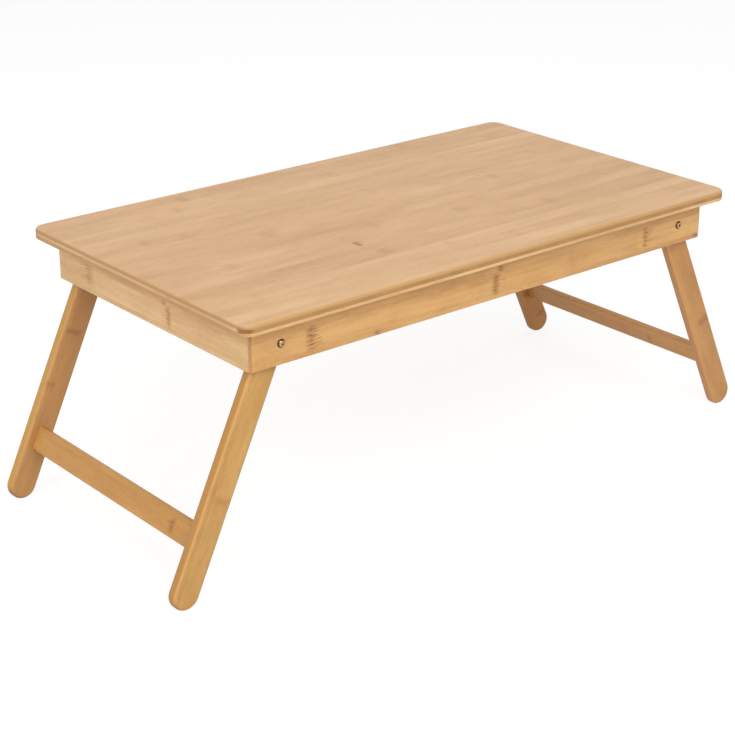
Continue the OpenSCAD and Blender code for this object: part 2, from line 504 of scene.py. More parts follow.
@dataclass(frozen=True)
class BambooBoard:
    """Finish of one glued-up bamboo board: strips, fibres, knuckles, end grain and satin lacquer, with
    painted light and shade on its narrow faces and a painted highlight on its arrises.
    """

    name: str
    grain: Grain
    seed: float
    tone: BambooTone = BambooTone()
    strip: float = 20 * MM
    phase: float = 0.37
    lamina: float = 6 * MM
    internode: float = 0.26
    faint: float = 0.35
    streaks: float = 0.8
    mottle: float = 0.9
    cast: float = 0.5
    glue: float = 0.12
    # edge_tone_and_shade_share paints the edge colour on narrow faces: partly their own tone, partly
    # painted light and shade.
    edge_tone_and_shade_share: float = 0.0
    edge_onset: Span = (0.6, 0.98)
    # arris_highlight paints a highlight along the rounded arrises.
    arris_highlight: float = 0.0
    end_onset: Span = (0.2, 0.8)
    marks: tuple[Knuckle, ...] = ()
    seam: Seam = Seam.NONE
    seam_levels: tuple[float, ...] = ()
    seam_width: float = 0.45 * MM
    corner: float = 0.0

    def material(self) -> bpy.types.Material:
        """Builds the board's material.

        Returns:
            A material that follows the object's own coordinates.
        """
        tree = ShaderTree.of_material(self.name)
        spot, normal = tree.place(), tree.place("Normal")
        point = tree.vector("SUBTRACT", spot, self.grain.origin).outputs[0]
        axes = (self.grain.along, self.grain.across, self.grain.depth())
        along, across, depth = (tree.reach(point, axis) for axis in axes)

        row = across / self.strip + self.phase
        index = row.floor()
        layer = (depth / self.lamina + WOOD.layer_phase).floor()
        tone, shift, force = tree.chances(tree.combine(index, layer, self.seed))
        loose = along + tone * WOOD.strip_shift

        def drawn(noise: FibreNoise) -> Sock:
            """Gives a noise drawn out along this board's fibres.

            Args:
                noise: Which noise.

            Returns:
                The noise, around 0.5.
            """
            side, rise = across * noise.sideways, depth * noise.sideways + self.seed
            place = tree.combine(loose * noise.lengthways, side, rise)
            return tree.noise(place, 1.0, noise.detail, noise.roughness)

        fibre, streak = drawn(WOOD.fibres), drawn(WOOD.streaks)
        colour = self._ground(tree, tone, fibre, streak, drawn)

        wave = WOOD.jags
        edge = tree.combine(along * wave.lengthways, across * wave.sideways, depth * wave.sideways)
        jag = tree.noise(edge, 1.0, wave.detail, wave.roughness) - 0.5
        frayed = tree.ease(drawn(WOOD.tears), WOOD.tear_onset)
        knots = self._own_knuckles(tree, along, shift, force, jag)
        for mark in self.marks:
            knots = knots.most(self._mark(tree, along, across, jag, frayed, mark))
        colour = tree.blend(knots.clamped(), colour, self.tone.knuckle)

        line = tree.ease(abs(row - index - 0.5), WOOD.glue_onset, (0.0, self.glue))
        line = self._seams(tree, spot, line)
        colour = tree.blend(line, colour, self.tone.pore)

        turned = abs(tree.reach(normal, self.grain.across))
        facing = abs(tree.reach(normal, self.grain.along))
        ends = tree.ease(facing, self.end_onset)
        # Narrow faces take the edge colour: partly their own tone, partly painted light and shade.
        edge_tone_and_shade_share = tree.ease(turned, self.edge_onset, (0.0, self.edge_tone_and_shade_share))
        colour = tree.blend(edge_tone_and_shade_share, colour, self.tone.edge)
        # A painted highlight along the rounded arrises, in the wood's light colour.
        past_arris = tree.ease(turned, WOOD.arris_fade, (self.arris_highlight, 0.0))
        painted_arris_highlight = tree.ease(turned, WOOD.arris_onset) * past_arris
        colour = tree.blend(painted_arris_highlight, colour, self.tone.light)
        cut = self._end_grain(tree, across, depth, tone)
        colour = tree.blend(ends * WOOD.end_share, colour, cut)
        turn = tree.ease(turned * facing, WOOD.corner_onset, (0.0, self.corner))
        colour = tree.blend(turn, colour, self.tone.pore)

        rough = WOOD.roughness + (fibre - 0.5) * WOOD.fibre_roughness + ends * WOOD.end_roughness
        relief = fibre * WOOD.fibre_height + streak * WOOD.streak_height
        height = relief - knots * WOOD.knuckle_depth - line
        inputs = {"Strength": WOOD.bump_strength, "Distance": WOOD.bump_distance, "Height": height}
        bump = tree.node("Bump", {}, inputs)
        changing = {"Roughness": rough, "Normal": bump.outputs[0]}
        return tree.finish(colour, changing, {"IOR": WOOD.lacquer_ior})

    def _ground(
        self, tree: ShaderTree, tone: Sock, fibre: Sock, streak: Sock,
        drawn: Callable[[FibreNoise], Sock],
    ) -> bpy.types.NodeSocket:
        """Colours the plain wood: its strips, clouds, streaks and short dashes.

        Args:
            tree: The material's tree.
            tone: The strip's own random shade.
            fibre: The fibres' noise.
            streak: The streaks' noise.
            drawn: Gives any other noise along the fibres.

        Returns:
            The wood's colour before its knuckles, seams and edges.
        """
        cloud, blotch = drawn(WOOD.clouds), drawn(WOOD.blotches)
        shade = WOOD.mean_shade + (
            (tone - 0.5) * WOOD.strip_weight + (cloud - 0.5) * WOOD.cloud_weight
            + (blotch - 0.5) * self.mottle + (streak - 0.5) * self.streaks
            + (fibre - 0.5) * (self.streaks * WOOD.fibre_share)
        )
        colour = tree.blend(shade.clamped(), self.tone.light, self.tone.dark)
        cast = tree.ease(drawn(WOOD.casts), WOOD.cast_onset, (0.0, self.cast))
        colour = tree.blend(cast, colour, self.tone.cast)
        dash = drawn(WOOD.dashes)
        dark_dash = tree.ease(dash, WOOD.dark_dash_onset)
        light_dash = tree.ease(dash, WOOD.light_dash_onset, (1.0, 0.0))
        colour = tree.blend(dark_dash * WOOD.dark_dash_share, colour, self.tone.knuckle)
        return tree.blend(light_dash * WOOD.light_dash_share, colour, self.tone.light)

    def _own_knuckles(
        self, tree: ShaderTree, along: Sock, shift: Sock, force: Sock, jag: Sock
    ) -> Sock:
        """Puts one faint knuckle in each internode of every strip.

        Args:
            tree: The material's tree.
            along: Distance along the fibres.
            shift: The strip's own random shift.
            force: The strip's own random strength.
            jag: Noise that frays the knuckle's edge.

        Returns:
            How much of the knuckle colour shows.
        """
        cell = along / self.internode + shift * WOOD.own_shift + self.seed * WOOD.own_seed_share
        apart = abs((cell - cell.floor() - 0.5) * self.internode + jag * WOOD.own_jag)
        band = tree.ease(apart, WOOD.own_band, (WOOD.own_band_share, 0.0))
        haze = tree.ease(apart, WOOD.own_haze, (WOOD.own_haze_share, 0.0))
        return (band + haze) * tree.ease(force, WOOD.own_force_onset, WOOD.own_force) * self.faint

    def _mark(
        self, tree: ShaderTree, along: Sock, across: Sock, jag: Sock, frayed: Sock, mark: Knuckle
    ) -> Sock:
        """Draws one placed knuckle: a soft brown band, a darker core and fibres that fray on one side.

        Args:
            tree: The material's tree.
            along: Distance along the fibres.
            across: Distance across the strips.
            jag: Noise that frays the knuckle's edge.
            frayed: Which fibres are torn and dark.
            mark: The knuckle.

        Returns:
            How much of the knuckle colour shows.
        """
        offset = along - mark.along + jag * WOOD.mark_jag
        torn = frayed * mark.fray
        spread, soft = mark.spread, (WOOD.mark_share, 0.0)
        band = tree.ease(abs(offset), times(WOOD.mark_fade, spread), soft)
        middle = abs(offset + jag * WOOD.core_jag)
        core = tree.ease(middle, WOOD.core_fade, (WOOD.core_share, 0.0))
        core = core * (WOOD.core_floor + jag * WOOD.core_fray)
        beside = abs(offset - spread * WOOD.tail_place)
        tail = tree.ease(beside, times(WOOD.tail_fade, spread), soft)
        rim = tree.ease(abs(across - mark.across), times(WOOD.rim_fade, mark.half), (1.0, 0.0))
        hold = 1.0 - mark.fray * WOOD.mark_fray_loss + torn * WOOD.mark_fray_gain
        return (band * hold + core + tail * torn) * rim * mark.strength

    def _seams(self, tree: ShaderTree, point: bpy.types.NodeSocket, glue: Sock) -> Sock:
        """Adds the glue lines between this board and its neighbours.

        Args:
            tree: The material's tree.
            point: The object's own coordinates.
            glue: How much of the board's own glue lines shows.

        Returns:
            How much of all the glue lines shows.
        """
        if self.seam is Seam.NONE:
            return glue
        parts = tree.node("SeparateXYZ", {}, {0: point})
        x, y, z = (Sock(tree, parts.outputs[k]) for k in range(3))
        if self.seam is Seam.MITRE:
            offset = abs(abs(x) - abs(y) - self.seam_levels[0])
            return glue.most(tree.ease(offset, WOOD.mitre_fade, (WOOD.seam_share, 0.0)))
        fade = (WOOD.ply_seam_start, self.seam_width)
        for level in self.seam_levels:
            glue = glue.most(tree.ease(abs(z - level), fade, (WOOD.seam_share, 0.0)))
        return glue

    def _end_grain(
        self, tree: ShaderTree, across: Sock, depth: Sock, tone: Sock
    ) -> bpy.types.NodeSocket:
        """Colours the cut ends, where each fibre bundle is a dark dot.

        Args:
            tree: The material's tree.
            across: Distance across the strips.
            depth: Distance through the board.
            tone: The strip's own random shade.

        Returns:
            The end grain's colour.
        """
        pitch = WOOD.bundles_per_metre
        place = tree.combine(across * pitch, depth * pitch, tone * WOOD.bundle_shift)
        cells = tree.node("TexVoronoi", {"feature": "F1"}, {"Vector": place, "Scale": 1.0})
        centre = Sock(tree, cells.outputs["Distance"])
        dots = tree.ease(centre, WOOD.bundle_fade, (WOOD.bundle_share, 0.0))
        ground = tree.blend(tone * WOOD.end_mottle, self.tone.end, self.tone.dark)
        return tree.blend(dots, ground, self.tone.pore)


# ---------- metal and plastic ----------


@dataclass(frozen=True)
class PlatedSteel:
    """Plated steel with fine tool marks, and a painted highlight on the crown where its face is square
    to an axis.
    """

    name: str
    colour: Colour
    roughness: float
    marks: float
    # crown: colour of a painted highlight
    crown: Colour | None = None
    axis: Triple = (0, 1, 0)
    fine_scale: float = 2600.0
    fine_layers: float = 3.0
    broad_scale: float = 420.0
    dull_shade: float = 0.72
    dull_onset: Span = (0.35, 0.75)
    dull_share: float = 0.5
    crown_highlight_onset: Span = (0.72, 0.97)
    relief_strength: float = 0.15
    relief_depth: float = 0.02 * MM

    def material(self) -> bpy.types.Material:
        """Builds the metal's material.

        Returns:
            A metallic material.
        """
        tree = ShaderTree.of_material(self.name)
        fine = tree.noise(tree.place(), self.fine_scale, self.fine_layers)
        broad = tree.noise(tree.place(), self.broad_scale)
        dull = tree.ease(broad, self.dull_onset, (0.0, self.dull_share))
        colour = tree.blend(dull, self.colour, dimmed(self.colour, self.dull_shade))
        # The crown colour is a painted highlight.
        if self.crown:
            painted_highlight_mask = abs(tree.reach(tree.place("Normal"), self.axis))
            colour = tree.blend(tree.ease(painted_highlight_mask, self.crown_highlight_onset), colour, self.crown)
        rough = self.roughness + (fine - 0.5) * self.marks
        inputs = {"Strength": self.relief_strength, "Distance": self.relief_depth, "Height": fine}
        bump = tree.node("Bump", {}, inputs)
        return tree.finish(colour, {"Roughness": rough, "Normal": bump.outputs[0]}, {"Metallic": 1.0})


@dataclass(frozen=True)
class Nylon:
    """The dull white plastic of the locking ring in a nut."""

    name: str = "lock_ring_nylon"
    colour: Colour = srgb(214, 214, 206)
    mottle_scale: float = 900.0
    grey_shade: float = 0.8
    roughness: float = 0.45
    roughness_spread: float = 0.2
    ior: float = 1.53

    def material(self) -> bpy.types.Material:
        """Builds the plastic's material.

        Returns:
            A slightly mottled white plastic.
        """
        tree = ShaderTree.of_material(self.name)
        mottle = tree.noise(tree.place(), self.mottle_scale)
        colour = tree.blend(mottle, self.colour, dimmed(self.colour, self.grey_shade))
        rough = self.roughness + (mottle - 0.5) * self.roughness_spread
        return tree.finish(colour, {"Roughness": rough}, {"IOR": self.ior})


# ---------- modelling steps ----------


class Bench:
    """Mesh steps that the modelled hardware shares."""

    @staticmethod
    def clear() -> None:
        """Deselects every object."""
        bpy.ops.object.select_all(action="DESELECT")

    @staticmethod
    def take(piece: bpy.types.Object) -> None:
        """Makes a piece the active object and the only selected one.

        Args:
            piece: The object.
        """
        Bench.clear()
        bpy.context.view_layer.objects.active = piece
        piece.select_set(True)

    @staticmethod
    def cylinder(name: str, sides: int, radius: float, low: float, high: float) -> bpy.types.Object:
        """Adds an upright closed cylinder on the Z axis.

        Args:
            name: The object's name.
            sides: How many sides it has.
            radius: Its radius.
            low: Height of its lower end.
            high: Height of its upper end.

        Returns:
            The new object.
        """
        Bench.clear()
        bpy.ops.mesh.primitive_cylinder_add(
            vertices=sides, radius=radius, depth=high - low, location=(0, 0, (high + low) / 2)
        )
        made = bpy.context.active_object
        made.name = made.data.name = name
        bpy.ops.object.transform_apply(location=True, rotation=True, scale=True)
        return made

    @staticmethod
    def select_faces(piece: bpy.types.Object, wanted: Callable[[Vector], bool]) -> None:
        """Enters edit mode with the faces selected whose middle passes a test.

        Args:
            piece: The object to edit.
            wanted: The test on the middle of each face.
        """
        Bench.take(piece)
        bpy.ops.object.mode_set(mode="EDIT")
        bpy.ops.mesh.select_mode(type="FACE")
        bpy.ops.mesh.select_all(action="DESELECT")
        bpy.ops.object.mode_set(mode="OBJECT")
        for face in piece.data.polygons:
            face.select = wanted(face.center)
        bpy.ops.object.mode_set(mode="EDIT")

    @staticmethod
    def done() -> None:
        """Leaves edit mode."""
        bpy.ops.object.mode_set(mode="OBJECT")

    @staticmethod
    def draw_out(height: float, scale: float) -> None:
        """Extrudes the selected face along Z and resizes it about the Z axis."""
        bpy.ops.mesh.extrude_region_move(TRANSFORM_OT_translate={"value": (0, 0, height)})
        bpy.ops.transform.resize(value=(scale, scale, 1), center_override=(0, 0, 0))

    @staticmethod
    def bevel(piece: bpy.types.Object, width: float, segments: int, degrees: float) -> None:
        """Rounds every edge sharper than an angle.

        Args:
            piece: The object to change.
            width: How wide each rounding is.
            segments: How many steps it has.
            degrees: The angle.
        """
        soft = piece.modifiers.new("soften", "BEVEL")
        soft.width = width
        soft.segments = segments
        soft.limit_method = "ANGLE"
        soft.angle_limit = math.radians(degrees)
        Bench.apply(piece, soft)

    @staticmethod
    def combine(piece: bpy.types.Object, other: bpy.types.Object, operation: str) -> None:
        """Joins, cuts or intersects a piece with another, which is used up.

        Args:
            piece: The object to change.
            other: The object that it is combined with.
            operation: UNION, DIFFERENCE or INTERSECT.
        """
        step = piece.modifiers.new("combine", "BOOLEAN")
        step.operation = operation
        step.object = other
        step.solver = "EXACT"
        Bench.apply(piece, step)
        bpy.data.objects.remove(other)

    @staticmethod
    def apply(piece: bpy.types.Object, modifier: bpy.types.Modifier) -> None:
        """Applies one modifier."""
        Bench.take(piece)
        bpy.ops.object.modifier_apply(modifier=modifier.name)

    @staticmethod
    def smooth(piece: bpy.types.Object, degrees: float) -> None:
        """Shades faces smooth where they meet at less than an angle."""
        Bench.take(piece)
        bpy.ops.object.shade_smooth_by_angle(angle=math.radians(degrees))

    @staticmethod
    def placed(pattern: bpy.types.Object, name: str, turn: Euler, place: Vector) -> bpy.types.Object:
        """Copies a piece with its own mesh, turned and moved in the mesh itself.

        Args:
            pattern: The piece to copy.
            name: The copy's name.
            turn: How the copy is turned.
            place: Where the copy's origin goes.

        Returns:
            The copy.
        """
        made = pattern.copy()
        made.data = pattern.data.copy()
        made.name = made.data.name = name
        bpy.context.scene.collection.objects.link(made)
        made.rotation_euler = turn
        made.location = place
        Bench.take(made)
        bpy.ops.object.transform_apply(location=True, rotation=True, scale=True)
        return made

    @staticmethod
    def joined(pieces: Iterable[bpy.types.Object], name: str) -> bpy.types.Object:
        """Makes one object of several.

        Args:
            pieces: The objects to join.
            name: The joined object's name.

        Returns:
            The joined object.
        """
        Bench.clear()
        pieces = list(pieces)
        for piece in pieces:
            piece.select_set(True)
        bpy.context.view_layer.objects.active = pieces[0]
        bpy.ops.object.join()
        pieces[0].name = pieces[0].data.name = name
        return pieces[0]


def dress(node: str, material: bpy.types.Material) -> None:
    """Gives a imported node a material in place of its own.

    Args:
        node: The node's name.
        material: The material to give it.
    """
    slots = frame["nodes"][node].data.materials
    slots.clear()
    slots.append(material)
    LOG.info("dressed %s in %s", node, material.name)


# ---------- sub-assemblies ----------


@dataclass
class Tabletop:
    """The three plies of the top: fibres run lengthways in the outer two and crossways in the core."""

    face_marks: tuple[Knuckle, ...] = (
        Knuckle(-0.110, -0.077, 8 * MM, 1.1, 4.2 * MM, 0.6),
        Knuckle(-0.103, -0.113, 9 * MM, 0.32, 9 * MM, 0.3),
        Knuckle(-0.056, -0.038, 9 * MM, 0.28, 8 * MM, 0.3),
        Knuckle(0.056, -0.057, 10 * MM, 0.35, 9 * MM, 0.3),
        Knuckle(0.174, 0.013, 9 * MM, 0.4, 7 * MM, 0.3),
        Knuckle(0.172, 0.186, 9 * MM, 0.35, 8 * MM, 0.3),
        Knuckle(0.157, -0.097, 11 * MM, 0.35, 9 * MM, 0.3),
        Knuckle(-0.166, 0.174, 11 * MM, 0.4, 9 * MM, 0.3),
        Knuckle(-0.193, 0.144, 10 * MM, 0.3, 8 * MM, 0.3),
        Knuckle(-0.165, 0.010, 12 * MM, 0.42, 11 * MM, 0.3),
        Knuckle(-0.256, -0.050, 10 * MM, 0.35, 9 * MM, 0.3),
        Knuckle(-0.286, 0.071, 10 * MM, 0.32, 8 * MM, 0.3),
    )
    # The ply tints are partly the plies' own tone and partly painted light: the paler, bluer tints
    # stand in for the cooler, stronger light on the top and on the back ply's edge.
    face_tone: BambooTone = BambooTone(
        edge=srgb(200, 155, 90), end=srgb(184, 145, 94),
        pore=srgb(128, 86, 38), knuckle=srgb(150, 88, 24),
    ).tinted(0.94, 0.96, 1.12)
    core_tone: BambooTone = BambooTone(
        end=srgb(172, 122, 62), pore=srgb(122, 80, 30)
    ).tinted(0.98, 1.02, 1.16)
    back_tone: BambooTone = BambooTone().tinted(1.08, 1.16, 1.3)

    def dress(self) -> None:
        """Gives each ply its own board of bamboo."""
        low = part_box("top_face_ply")[0]
        seams = (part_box("top_back_ply")[1].z, low.z)
        lengthways, crossways = (1, 0, 0), (0, 1, 0)
        # The face ply's rounded edge takes its edge colour: partly its own tone, partly painted shade
        # where the rounding turns down.
        face = BambooBoard(
            "face_ply_bamboo", Grain((0, 0, low.z), lengthways, crossways),
            seed=3.0, tone=self.face_tone, streaks=0.16, mottle=0.55, cast=0.35, faint=0.16, glue=0.03,
            edge_tone_and_shade_share=0.9, edge_onset=(0.1, 0.95), end_onset=(0.5, 0.95), marks=self.face_marks,
            seam=Seam.PLIES, seam_levels=seams, seam_width=1.3 * MM, corner=0.2,
        )
        core = BambooBoard(
            "core_ply_bamboo", Grain((0, 0, low.z), crossways, lengthways),
            seed=8.0, tone=self.core_tone, seam=Seam.PLIES, seam_levels=seams, corner=0.8,
        )
        back_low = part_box("top_back_ply")[0].z
        back = BambooBoard(
            "back_ply_bamboo", Grain((0, 0, back_low), lengthways, crossways),
            seed=12.0, tone=self.back_tone, faint=0.6, seam=Seam.PLIES, seam_levels=seams,
        )
        dress("top_face_ply", face.material())
        dress("top_core_ply", core.material())
        dress("top_back_ply", back.material())
        plain = BambooBoard("dowel_bamboo", Grain((0, 0, back_low), (0, 0, 1), lengthways), seed=15.0)
        dress("top_dowels", plain.material())


@dataclass
class ApronRing:
    """The four mitred aprons and the splines in their corners."""

    strip: float = 24 * MM
    phase: float = 0.75
    # The apron tints are partly their own tone and partly painted light: the end aprons' paler, bluer
    # tint stands in for the cooler light from the left.
    long_tone: BambooTone = BambooTone(knuckle=srgb(154, 102, 50)).tinted(0.96, 0.92, 0.82)
    end_tone: BambooTone = BambooTone(knuckle=srgb(158, 92, 26)).tinted(1.05, 1.14, 1.34)
    front_marks: tuple[Knuckle, ...] = (
        Knuckle(-0.253, 0.019, 14 * MM, 0.85, 7 * MM, 0.9),
        Knuckle(-0.001, 0.017, 13 * MM, 1.1, 5.5 * MM, 0.45),
        Knuckle(0.005, 0.036, 6 * MM, 0.6, 5 * MM),
        Knuckle(0.234, 0.020, 13 * MM, 0.85, 5 * MM, 0.8),
        Knuckle(-0.168, 0.003, 5 * MM, 0.8),
        Knuckle(0.321, 0.005, 3 * MM, 0.9),
    )
    left_marks: tuple[Knuckle, ...] = (
        Knuckle(0.115, 0.022, 13 * MM, 0.6, 9 * MM),
        Knuckle(-0.038, 0.018, 13 * MM, 0.8, 5 * MM),
        Knuckle(-0.031, 0.035, 7 * MM, 0.7, 5 * MM),
    )
    rear_marks: tuple[Knuckle, ...] = (
        Knuckle(-0.190, 0.022, 13 * MM, 0.8),
        Knuckle(0.062, 0.020, 13 * MM, 0.7),
        Knuckle(0.070, 0.038, 7 * MM, 0.7),
        Knuckle(0.301, 0.019, 12 * MM, 0.8),
    )
    right_marks: tuple[Knuckle, ...] = (
        Knuckle(-0.090, 0.020, 12 * MM, 0.75),
        Knuckle(0.128, 0.034, 10 * MM, 0.6),
    )

    def dress(self) -> None:
        """Gives each apron its own board of bamboo."""
        low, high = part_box("front_apron")
        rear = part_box("rear_apron")[1]
        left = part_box("left_end_apron")[0]
        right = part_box("right_end_apron")[0]
        mitre = (abs(left.x) - rear.y,)
        lengthways, crossways, up = (1, 0, 0), (0, 1, 0), (0, 0, 1)
        boards = {
            "front_apron": ((0, high.y, low.z), lengthways, self.front_marks, 21.0, self.long_tone),
            "rear_apron": ((0, rear.y, low.z), lengthways, self.rear_marks, 24.0, self.long_tone),
            "left_end_apron": ((left.x, 0, low.z), crossways, self.left_marks, 27.0, self.end_tone),
            "right_end_apron": ((right.x, 0, low.z), crossways, self.right_marks, 31.0, self.end_tone),
        }
        for node, (origin, along, marks, seed, tone) in boards.items():
            board = BambooBoard(
                node + "_bamboo", Grain(origin, along, up), seed, tone,
                strip=self.strip, phase=self.phase, marks=marks,
                faint=0.12, end_onset=(0.02, 0.3), seam=Seam.MITRE, seam_levels=mitre,
            )
            dress(node, board.material())
        spline = BambooBoard("spline_bamboo", Grain((0, 0, low.z), up, lengthways), seed=33.0)
        dress("mitre_splines", spline.material())


@dataclass(frozen=True)
class Timber:
    """The bamboo of one member: its tone and knuckles, the painted light and shade on its narrow faces
    and the painted highlight on its arrises.
    """

    tone: BambooTone
    marks: tuple[Knuckle, ...] = ()
    edge_tone_and_shade_share: float = 0.0
    arris_highlight: float = 0.35


@dataclass
class LegFrame:
    """One folding frame: two round-ended legs and the stretcher between them."""

    side: Side
    front: Timber
    rear: Timber
    rail: Timber
    seed: float
    strip: float = 22 * MM
    streaks: float = 0.4
    faint: float = 0.15
    rail_shift: float = 5.0
    pin_shift: float = 9.0

    def dress(self) -> None:
        """Gives the legs and the stretcher their bamboo, with the fibres down each leg."""
        name = self.side.name.lower()
        pivot = Vector(hinge_of(self.side)["pos_m"])
        low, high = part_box(name + "_front_leg")
        half = high.z - pivot.z
        reach = max(abs(low.x), abs(high.x)) - half - abs(pivot.x)
        down = Vector((self.side.value * reach, 0, half - pivot.z)).normalized()
        outward = Vector((-down.z, 0, down.x))
        for row, timber in {Row.FRONT: self.front, Row.REAR: self.rear}.items():
            node = f"{name}_{row.name.lower()}_leg"
            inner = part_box(node)[1 if row is Row.FRONT else 0].y
            grain = Grain((pivot.x, inner, pivot.z), tuple(down), tuple(outward))
            self._dress_member(node, grain, self.seed + row.value, timber)
        lower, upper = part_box(name + "_stretcher")
        grain = Grain(tuple((lower + upper) / 2), (0, 1, 0), tuple(down))
        self._dress_member(name + "_stretcher", grain, self.seed + self.rail_shift, self.rail)
        pins = BambooBoard(name + "_pin_bamboo", grain, self.seed + self.pin_shift)
        dress(name + "_stretcher_dowels", pins.material())

    def _dress_member(self, node: str, grain: Grain, seed: float, timber: Timber) -> None:
        """Gives one leg or stretcher its own board of bamboo.

        Args:
            node: The member's node.
            grain: How its fibres lie.
            seed: What makes its figure its own.
            timber: Its tone, knuckles and edges.
        """
        board = BambooBoard(
            node + "_bamboo", grain, seed, timber.tone, strip=self.strip, marks=timber.marks,
            faint=self.faint, streaks=self.streaks, arris_highlight=timber.arris_highlight, edge_tone_and_shade_share=timber.edge_tone_and_shade_share,
        )
        dress(node, board.material())


@dataclass
class PivotHardware:
    """The button-head bolts, washers and lock nuts that the leg frames turn on."""

    sides: int = 48
    shank_radius: float = 2.5 * MM
    bolt_length: float = 31.5 * MM
    head_radius: float = 4.7 * MM
    head_height: float = 2.75 * MM
    rim_height: float = 0.35 * MM
    crown_radius: float = 2.1 * MM
    dome_steps: int = 7
    socket_across: float = 3 * MM
    socket_depth: float = 1.6 * MM
    thread_pitch: float = 0.8 * MM
    thread_turns: int = 9
    thread_root: float = 0.86
    nut_across: float = 8 * MM
    nut_height: float = 3.6 * MM
    nut_chamfer: float = 0.6 * MM
    collar_radius: float = 3.7 * MM
    collar_height: float = 1.4 * MM
    bore_radius: float = 2.58 * MM
    face_slack: float = 0.1
    edge: float = 0.1 * MM
    edge_steps: int = 2
    edge_angle: float = 50.0
    bolt_smoothing: float = 40.0
    nut_angle: float = 60.0
    nut_smoothing: float = 35.0
    collar_edge: float = 0.35 * MM
    collar_steps: int = 3
    overlap: float = 0.2 * MM
    cut_margin: float = 1 * MM
    ring_gap: float = 0.35 * MM
    ring_radius: float = 0.3 * MM
    ring_steps: int = 10
    ring_rise: float = 0.1 * MM
    ring_smoothing: float = 60.0
    # The bolts' crown colour is a painted highlight.
    bolt_finish: PlatedSteel = PlatedSteel(
        "polished_bolt_steel", srgb(96, 66, 42), 0.16, 0.08, crown=srgb(206, 170, 122)
    )
    zinc_finish: PlatedSteel = PlatedSteel("zinc_steel", srgb(176, 180, 184), 0.34, 0.2)
    ring_finish: Nylon = Nylon()

    def bolt(self) -> bpy.types.Object:
        """Models one bolt on the Z axis, its head seated on z = 0.

        Returns:
            The bolt.
        """
        made = Bench.cylinder("pivot_bolt", self.sides, self.head_radius, 0.0, self.rim_height)
        rise = self.head_height - self.rim_height
        ball = (self.head_radius**2 + rise**2) / (2 * rise)
        start = math.asin(self.head_radius / ball)
        stop = math.asin(self.crown_radius / ball)
        top = self.rim_height * (1 - self.face_slack)
        Bench.select_faces(made, lambda middle: middle.z > top)
        level, radius = self.rim_height, self.head_radius
        for step in range(1, self.dome_steps + 1):
            angle = start + (stop - start) * step / self.dome_steps
            next_level = self.rim_height + ball * (math.cos(angle) - math.cos(start))
            next_radius = ball * math.sin(angle)
            Bench.draw_out(next_level - level, next_radius / radius)
            level, radius = next_level, next_radius
        Bench.done()
        self._shank(made)
        floor, mouth = level - self.socket_depth, level + self.cut_margin
        socket = Bench.cylinder("socket", HEXAGON, corner_reach(self.socket_across), floor, mouth)
        Bench.combine(made, socket, "DIFFERENCE")
        Bench.bevel(made, self.edge, self.edge_steps, self.edge_angle)
        Bench.smooth(made, self.bolt_smoothing)
        made.data.materials.append(self.bolt_finish.material())
        return made

    def _shank(self, bolt: bpy.types.Object) -> None:
        """Draws the shank and its threaded end out of the underside of the head.

        Args:
            bolt: The bolt's head.
        """
        underside = self.rim_height * self.face_slack
        Bench.select_faces(bolt, lambda middle: middle.z < underside)
        bpy.ops.mesh.inset(thickness=self.head_radius - self.shank_radius)
        thread = self.thread_turns * self.thread_pitch
        Bench.draw_out(thread - self.bolt_length, 1.0)
        for _ in range(self.thread_turns):
            Bench.draw_out(-self.thread_pitch / 2, self.thread_root)
            Bench.draw_out(-self.thread_pitch / 2, 1 / self.thread_root)
        Bench.done()

    def lock_nut(self) -> bpy.types.Object:
        """Models one lock nut on the Z axis, its hexagon seated on z = 0 and its collar below.

        Returns:
            The nut with its locking ring.
        """
        corner = corner_reach(self.nut_across)
        seat, end = -self.nut_height, -self.nut_height - self.collar_height
        made = Bench.cylinder("lock_nut", HEXAGON, corner, seat, 0.0)
        crown = Bench.cylinder("crown", self.sides, corner, seat, 0.0)
        Bench.bevel(crown, self.nut_chamfer, segments=1, degrees=self.nut_angle)
        Bench.combine(made, crown, "INTERSECT")
        collar = Bench.cylinder("collar", self.sides, self.collar_radius, end, seat + self.overlap)
        Bench.bevel(collar, self.collar_edge, self.collar_steps, self.nut_angle)
        Bench.combine(made, collar, "UNION")
        low, high = end - self.cut_margin, self.cut_margin
        bore = Bench.cylinder("bore", self.sides, self.bore_radius, low, high)
        Bench.combine(made, bore, "DIFFERENCE")
        Bench.smooth(made, self.nut_smoothing)
        made.data.materials.append(self.zinc_finish.material())
        Bench.clear()
        bpy.ops.mesh.primitive_torus_add(
            major_radius=self.bore_radius + self.ring_gap, minor_radius=self.ring_radius,
            major_segments=self.sides, minor_segments=self.ring_steps,
            location=(0, 0, end + self.ring_rise),
        )
        ring = bpy.context.active_object
        bpy.ops.object.transform_apply(location=True, rotation=True, scale=True)
        Bench.smooth(ring, self.ring_smoothing)
        ring.data.materials.append(self.ring_finish.material())
        return Bench.joined((made, ring), "lock_nut")

